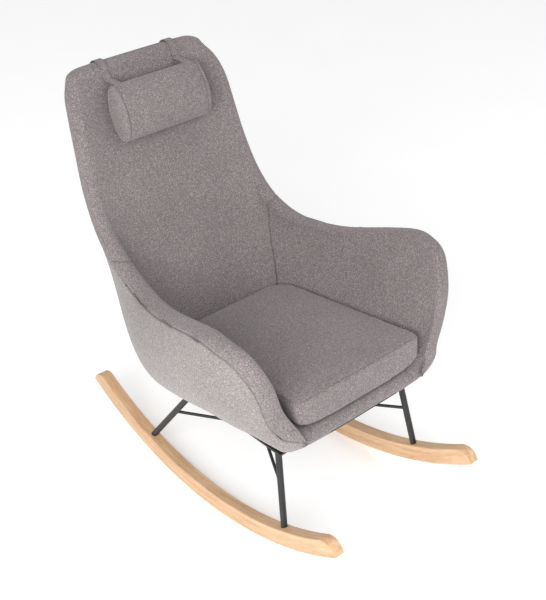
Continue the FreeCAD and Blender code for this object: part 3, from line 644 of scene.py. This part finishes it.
def seam_rows():
    """The tub's seam lines as lists of points."""
    rows = []
    for side in (1, -1):
        angles = np.linspace(FRONT_DEG - FRONT_NOSE_DEG, TOP_SEAM_DEG, CURVE_POINTS)
        rows.append(tub_surface(angles, np.full(angles.shape, 3.0 * side)))
        s = np.linspace(DECK_SEAM, 3.0, CURVE_POINTS)
        rows.append(tub_surface(seam_angle(s), s * side))
        angles = np.linspace(FRONT_DEG - FRONT_NOSE_DEG, seam_angle(DECK_SEAM), CURVE_POINTS)
        rows.append(tub_surface(angles, np.full(angles.shape, DECK_SEAM * side)))
    s = np.linspace(3.0, 4.0, CURVE_POINTS)
    for side in (1, -1):
        rows.append(tub_surface(np.full(s.shape, TOP_SEAM_DEG), s * side))
    s = np.linspace(-DECK_SEAM, DECK_SEAM, CURVE_POINTS)
    rows.append(tub_surface(seam_angle(s), s))
    return rows


def panel_grid(angles, s, first=None, last=None):
    """Points of a panel.  first and last give the real end angle of each column, if it slants."""
    grid_angles, grid_s = np.meshgrid(angles, s, indexing="ij")
    share = (grid_angles - angles[0]) / (angles[-1] - angles[0])
    if first is not None:
        keep = np.clip((BACK_BLEND_DEG - grid_angles) / (BACK_BLEND_DEG - angles[0]), 0, 1)
        grid_angles = grid_angles + (first(grid_s) - angles[0]) * keep
    if last is not None:
        grid_angles = grid_angles + (last(grid_s) - angles[-1]) * share**2
    return tub_surface(grid_angles, grid_s)


def both_sides(half):
    """Places from one side's first, through the underside's centre line, to the other side's."""
    return np.concatenate((half, -half[-2::-1]))


def make_back(rim, seams):
    """The inside of the back with its rim and top edge."""
    half = np.concatenate((spread((0.0, 30), (0.9, 6), (1.0, 0))[:-1], rim))
    low = seam_angle(0.0)
    wall_angles = spread((low, 6), (low + 1.2, 70), (86.0, 12), (TOP_DEG, 0))
    angles = np.concatenate((wall_angles, top_nose(NOSE_ROWS)))
    back = panel_grid(angles, np.concatenate((-half[:0:-1], half)), first=seam_angle)
    top_angles = np.concatenate((spread((TOP_SEAM_DEG, 5), (TOP_DEG, 0)), top_nose(NOSE_ROWS)))
    top = panel_grid(top_angles, both_sides(spread((3.0, 6), (3.1, 34), (4.0, 0))))
    grids = [(back, False), (top, False)]
    return sheet_object("inner_back_panel", grids, seams, MATERIALS["inner_fabric"])


def make_arm(name, side, rim, seams):
    """The inside of one arm with its rim."""
    wall_angles = spread((FRONT_DEG, 10), (20.0, 60), (59.8, 6), (61.0, 0))
    angles = np.concatenate((front_nose(NOSE_ROWS), wall_angles))
    s = np.concatenate((spread((DECK_SEAM, 5), (0.47, 26), (0.93, 5), (1.0, 0))[:-1], rim))
    arm = panel_grid(angles, s, last=seam_angle)
    arm[..., 0] *= side
    return sheet_object(name, [(arm, side < 0)], seams, MATERIALS["inner_fabric"])


def make_deck(seams):
    """The seat deck under the loose cushion."""
    low = seam_angle(0.0)
    s = spread((-DECK_SEAM, 5), (-0.37, 30), (0.37, 5), (DECK_SEAM, 0))
    angles = np.concatenate((front_nose(NOSE_ROWS), spread((FRONT_DEG, 40), (low - 1.0, 4), (low, 0))))
    return sheet_object("seat_deck_panel", [(panel_grid(angles, s), False)], seams, MATERIALS["inner_fabric"])


def make_outside(seams):
    """The tub's outside, and the black cloth that closes its underside."""
    side = spread((3.0, 6), (3.06, 36), (UNDERSIDE_EDGE, 0))
    low_angles = np.concatenate((front_nose(NOSE_ROWS), spread((FRONT_DEG, 44), (BASE_END_DEG, 0))))
    high_angles = spread((BASE_END_DEG, 56), (TOP_SEAM_DEG - 0.6, 5), (TOP_SEAM_DEG, 0))
    full = np.concatenate((side, spread((UNDERSIDE_EDGE, 8), (4.0, 0))[1:]))
    grids = [(panel_grid(low_angles, side), False),
             (panel_grid(low_angles, -side[::-1]), False),
             (panel_grid(high_angles, both_sides(full)), False)]
    base = panel_grid(low_angles, both_sides(spread((UNDERSIDE_EDGE, 14), (4.0, 0))))
    return (sheet_object("outer_panel", grids, seams, MATERIALS["outer_fabric"]),
            sheet_object("base_cloth", [(base, False)], seams, MATERIALS["black_lining"]))


def make_upholstery():
    """The tub's six cloth panels."""
    seams = seam_rows()
    rim = spread((1.0, 14), (2.0, 10), (2.85, 6), (3.0, 0))
    pieces = [make_back(rim, seams)]
    for side, name in ((1, "right_arm_panel"), (-1, "left_arm_panel")):
        pieces.append(make_arm(name, side, rim, seams))
    return [*pieces, make_deck(seams), *make_outside(seams)]


def place_upholstery(pieces):
    """Ties each panel to the chair's body and to the CAD nodes it stands for."""
    covers = {
        "inner_back_panel": ("inner_back_cover", "lower_back_cover", "back_pad", "lower_back_pad"),
        "right_arm_panel": ("right_inner_arm_cover", "right_arm_pad"),
        "left_arm_panel": ("left_inner_arm_cover", "left_arm_pad"),
        "seat_deck_panel": ("seat_deck_cover", "seat_pad"),
        "base_cloth": ("dust_cover",),
        "outer_panel": ("outer_back_cover", "left_outer_cover", "right_outer_cover", "outer_back_wadding",
                        "left_outer_wadding", "right_outer_wadding"),
    }
    for piece in pieces:
        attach(piece, "root")
        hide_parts(*covers[piece.name])


# ---- stuffed pieces -----------------------------------------------------------------------

def copy_of(node, name):
    """A new piece with the mesh of a CAD node."""
    mesh = frame["nodes"][node].data.copy()
    mesh.name = name
    mesh.materials.clear()
    piece = bpy.data.objects.new(name, mesh)
    bpy.context.scene.collection.objects.link(piece)
    return piece


def apply_modifiers(piece):
    depsgraph = bpy.context.evaluated_depsgraph_get()
    mesh = bpy.data.meshes.new_from_object(piece.evaluated_get(depsgraph))
    piece.modifiers.clear()
    piece.data = mesh


def remesh(piece, voxel):
    modifier = piece.modifiers.new("remesh", "REMESH")
    modifier.mode = "VOXEL"
    modifier.voxel_size = voxel
    apply_modifiers(piece)


def on_surface(piece, seam):
    """The seam's points moved to the nearest points of the piece's surface."""
    return [piece.closest_point_on_mesh(Vector(point))[1] for point in resample(seam, GUIDE_STEP)]


def inflate(piece, seams, cap, pin_reach, frames=20):
    """Blows the piece up as cloth with its seams held, and limits how far any point moves."""
    rest = np.array([v.co for v in piece.data.vertices])
    tree = seam_tree([resample(seam, GUIDE_STEP) for seam in seams])
    held = piece.vertex_groups.new(name="held")
    for vertex in piece.data.vertices:
        distance = tree.find(vertex.co)[2]
        if distance < pin_reach:
            held.add([vertex.index], 1.0, "REPLACE")
    cloth = piece.modifiers.new("cloth", "CLOTH")
    cloth.settings.quality = 5
    cloth.settings.mass = 0.3
    cloth.settings.tension_stiffness = 15
    cloth.settings.compression_stiffness = 15
    cloth.settings.bending_stiffness = 0.5
    cloth.settings.use_pressure = True
    cloth.settings.uniform_pressure_force = PRESSURE
    cloth.settings.vertex_group_mass = "held"
    cloth.settings.effector_weights.gravity = 0
    cloth.collision_settings.use_collision = False
    scene = bpy.context.scene
    for number in range(1, frames + 1):
        scene.frame_set(number)
    apply_modifiers(piece)
    scene.frame_set(1)
    moved = np.array([v.co for v in piece.data.vertices]) - rest
    length = np.linalg.norm(moved, axis=1, keepdims=True)
    moved *= np.minimum(1, cap / np.maximum(length, 1e-9))
    piece.data.vertices.foreach_set("co", (rest + moved).ravel())
    piece.vertex_groups.clear()


def subdivide(piece):
    modifier = piece.modifiers.new("smooth", "SUBSURF")
    modifier.levels = modifier.render_levels = 1
    apply_modifiers(piece)


def in_cushion(x, y, z):
    """A point of the cushion's own frame, whose base lies on its underside, as a point of the chair."""
    c, s = math.cos(CUSHION_SLOPE), math.sin(CUSHION_SLOPE)
    return Vector((x, CUSHION_PIVOT.y + y * c + z * s, CUSHION_PIVOT.z - y * s + z * c))


def cushion_outline(height, inset):
    """The cushion's plan outline at a height in its own frame."""
    def corner(centre_x, centre_y, radius, start):
        return [(centre_x + radius * math.cos(a), centre_y + radius * math.sin(a))
                for a in np.radians(np.linspace(start, start + 90, 12))]
    front, rear = CUSHION_FRONT_HALF - inset, CUSHION_REAR_HALF - inset
    length = CUSHION_LENGTH - inset
    fr, rr = CUSHION_FRONT_CORNER, CUSHION_REAR_CORNER
    plan = corner(front - fr, inset + fr, fr, -90) + corner(rear - rr, length - rr, rr, 0)
    plan += corner(-rear + rr, length - rr, rr, 90) + corner(-front + fr, inset + fr, fr, 180)
    return [in_cushion(x, y, height) for x, y in plan + plan[:1]]


def cushion_underside_edge():
    """The lower front edge, which lifts where the tub's corners rise."""
    across = np.linspace(-CUSHION_EDGE_HALF, CUSHION_EDGE_HALF, 60)
    rise = np.interp(np.abs(across), *CUSHION_EDGE_RISE)
    return [in_cushion(x, 0.001, height) for x, height in zip(across, rise)]


def make_cushion():
    """The loose seat cushion, blown up between its upper seam and its lower front seam."""
    piece = copy_of("cushion_foam", "seat_cushion_cover")
    remesh(piece, 0.005)
    upper = cushion_outline(CUSHION_THICKNESS - CUSHION_EDGE_INSET, CUSHION_EDGE_INSET)
    edges = [upper, cushion_underside_edge()]
    inflate(piece, [on_surface(piece, edge) for edge in edges], cap=0.012, pin_reach=0.006)
    subdivide(piece)
    pinch(piece, [on_surface(piece, edge) for edge in edges], STUFFED_SEAM_DEPTH, width=0.0034)
    piece.data.shade_smooth()
    piece.data.materials.append(MATERIALS["inner_fabric"])
    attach(piece, "seat_cushion")
    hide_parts("cushion_foam", "cushion_cover")


def in_pillow(x, forward, up):
    """A point of the leaning pillow's own frame as a point of the chair."""
    c, s = math.cos(PILLOW_LEAN), math.sin(PILLOW_LEAN)
    return Vector((x, PILLOW_CENTRE.y - forward * c + up * s, PILLOW_CENTRE.z + forward * s + up * c))


def pillow_ring(side):
    """The seam round one end panel."""
    x = side * (PILLOW_HALF - PILLOW_CAP)
    turn = np.linspace(0, 2 * math.pi, 80)
    ring = [in_pillow(x, 0.5 * PILLOW_DEPTH * math.cos(a), 0.5 * PILLOW_HEIGHT * math.sin(a)) for a in turn]
    return [point - Vector((0, 0, PILLOW_DROP)) for point in ring]


def make_pillow():
    """The head pillow, which hangs a little low on its straps."""
    piece = copy_of("pillow_filling", "head_pillow_cover")
    for vertex in piece.data.vertices:
        along = abs(vertex.co.x) / PILLOW_HALF
        above = max(0.0, vertex.co.z - PILLOW_CENTRE.z) / (0.5 * PILLOW_HEIGHT)
        vertex.co.z -= PILLOW_DROP + PILLOW_SAG * (1 - along**2) * above
        vertex.co.x *= 1 + PILLOW_SPREAD * (1 - above)
    remesh(piece, 0.004)
    rings = [pillow_ring(side) for side in (1, -1)]
    inflate(piece, [on_surface(piece, ring) for ring in rings], cap=0.007, pin_reach=0.004)
    subdivide(piece)
    pinch(piece, [on_surface(piece, ring) for ring in rings], STUFFED_SEAM_DEPTH, width=0.0030)
    piece.data.shade_smooth()
    piece.data.materials.append(MATERIALS["inner_fabric"])
    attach(piece, "head_pillow")
    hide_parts("pillow_filling", "pillow_cover")


# ---- straps -------------------------------------------------------------------------------

def strap_line():
    """The strap's middle line in the chair's side view, from its tail to the pillow's top seam."""
    def beside(angle, offset):
        r = float(station(4, np.array([angle]))[0]) + offset
        turn = math.radians(angle)
        return FAN_Y + r * math.sin(turn), FAN_Z - r * math.cos(turn)
    out = WALL_HALF + STRAP_GAP
    line = [beside(angle, out) for angle in np.linspace(STRAP_TAIL_DEG, STRAP_TOP_DEG, 8)]
    turn = np.radians(np.linspace(0, 175, 14))
    line += [(HINGE.y + out * math.cos(a), HINGE.z + out * math.sin(a)) for a in turn]
    line += [beside(angle, -out - STRAP_FRONT_GAP) for angle in (89.0, 88.5)]
    seam = in_pillow(0, -0.004, 0.5 * PILLOW_HEIGHT - 0.004 - PILLOW_DROP)
    start_y, start_z = line[-1]
    line += [(start_y + (seam.y - start_y) * share, start_z + (seam.z - start_z) * share)
             for share in (0.3, 0.6, 0.8, 1.0)]
    return resample([(0, y, z) for y, z in line], 0.003)


def strap_profile():
    """Half the strap's section: a rolled edge, then a row of stitches, then the flat middle."""
    half, thick = 0.5 * STRAP_WIDTH, 0.5 * STRAP_THICKNESS
    profile = []
    for x in spread((-half, 3), (-half + 0.003, 6), (half - 0.003, 3), (half, 0)):
        edge = half - abs(x)
        roll = 0.35 * math.exp(-((edge - 0.0012) / 0.0012)**2)
        stitch = 0.25 * math.exp(-((edge - STITCH_INSET) / STITCH_WIDTH)**2)
        profile.append((x, thick * (0.75 + roll - stitch)))
    return profile


def make_strap(name, centre_x):
    """One strap: its section carried along its line."""
    line = strap_line()
    tangent = np.gradient(line, axis=0)
    tangent /= np.linalg.norm(tangent, axis=1, keepdims=True)
    normal = np.stack((np.zeros(len(line)), -tangent[:, 2], tangent[:, 1]), -1)
    profile = strap_profile()
    ring = profile + [(x, -h) for x, h in reversed(profile)]
    points = [tuple(p + np.array((centre_x + x, 0, 0)) + n * h)
              for p, n in zip(line, normal) for x, h in ring]
    count = len(ring)
    faces = []
    for i in range(len(line) - 1):
        for j in range(count):
            a, b = i * count + j, i * count + (j + 1) % count
            faces.append((a, b, b + count, a + count))
    faces.append(tuple(range(count))[::-1])
    faces.append(tuple(range((len(line) - 1) * count, len(line) * count)))
    mesh = bpy.data.meshes.new(name)
    mesh.from_pydata(points, [], faces)
    bm = bmesh.new()
    bm.from_mesh(mesh)
    bmesh.ops.recalc_face_normals(bm, faces=bm.faces)
    bm.to_mesh(mesh)
    bm.free()
    mesh.shade_smooth()
    mesh.materials.append(MATERIALS["inner_fabric"])
    # painted shade: a dark line along each stitch groove, read by the fabric's seam mask
    painted_shade = mesh.attributes.new("seam", "FLOAT", "POINT")
    for vertex in mesh.vertices:
        edge = 0.5 * STRAP_WIDTH - abs(vertex.co.x - centre_x)
        painted_shade.data[vertex.index].value = 0.8 * math.exp(-((edge - STITCH_INSET) / STITCH_SHADE_WIDTH)**2)
    piece = bpy.data.objects.new(name, mesh)
    bpy.context.scene.collection.objects.link(piece)
    return piece


def make_straps():
    """Both straps, each running over the back's top edge to the pillow's top seam."""
    for side, label in ((1, "right"), (-1, "left")):
        piece = make_strap(label + "_strap_cloth", side * STRAP_X)
        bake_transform(piece)
        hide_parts(label + "_pillow_strap")


# ---- stage --------------------------------------------------------------------------------

def make_floor():
    """A pale floor that glows a little, so that it runs into the background."""
    mesh = bpy.data.meshes.new("floor")
    corners = [(x * FLOOR_HALF, y * FLOOR_HALF, 0) for x, y in ((-1, -1), (1, -1), (1, 1), (-1, 1))]
    mesh.from_pydata(corners, [], [(0, 1, 2, 3)])
    floor = bpy.data.objects.new("floor", mesh)
    bpy.context.scene.collection.objects.link(floor)
    n = Nodes("pale_floor")
    n.colour(n.ramp(n.noise(3.0), ((0.3, (0.90, 0.90, 0.90)), (0.7, (0.92, 0.92, 0.92)))))
    n.shader.inputs["Roughness"].default_value = 0.8
    n.shader.inputs["Emission Color"].default_value = (1.0, 1.0, 1.0, 1.0)
    n.shader.inputs["Emission Strength"].default_value = 0.3
    n.shader.inputs["Specular IOR Level"].default_value = 0.1
    mesh.materials.append(n.material)


def add_light(name, place, size, power):
    """A round soft light aimed at the chair."""
    light = bpy.data.lights.new(name, "AREA")
    light.shape = "DISK"
    light.size = size
    light.energy = power
    lamp = bpy.data.objects.new(name, light)
    lamp.location = place
    lamp.rotation_euler = (Vector(LIGHT_TARGET) - Vector(place)).to_track_quat("-Z", "Y").to_euler()
    bpy.context.scene.collection.objects.link(lamp)


def make_studio():
    """White surroundings, two lights and the camera."""
    scene = bpy.context.scene
    scene.view_settings.view_transform = "Standard"
    world = bpy.data.worlds.new("studio")
    world.use_nodes = True
    world.node_tree.nodes["Background"].inputs["Color"].default_value = (1.0, 1.0, 1.0, 1.0)
    world.node_tree.nodes["Background"].inputs["Strength"].default_value = 0.62
    scene.world = world
    add_light("key", (-2.5, -1.7, 2.0), size=2.0, power=92.0)
    add_light("fill", (1.4, -2.8, 2.6), size=2.4, power=26.0)
    data = bpy.data.cameras.new("camera")
    data.lens = CAMERA_LENS
    data.sensor_width = CAMERA_SENSOR
    data.shift_x, data.shift_y = CAMERA_SHIFT
    camera = bpy.data.objects.new("camera", data)
    camera.location = CAMERA_PLACE
    back = Vector((math.sin(CAMERA_AZIMUTH) * math.cos(CAMERA_ELEVATION),
                   -math.cos(CAMERA_AZIMUTH) * math.cos(CAMERA_ELEVATION), math.sin(CAMERA_ELEVATION)))
    level = back.to_track_quat("Z", "Y").to_matrix()
    camera.rotation_euler = (Matrix.Rotation(CAMERA_ROLL, 3, back) @ level).to_euler()
    scene.collection.objects.link(camera)
    scene.camera = camera


make_studio()
make_floor()
dress_frame()
place_upholstery(make_upholstery())
make_cushion()
make_pillow()
make_straps()
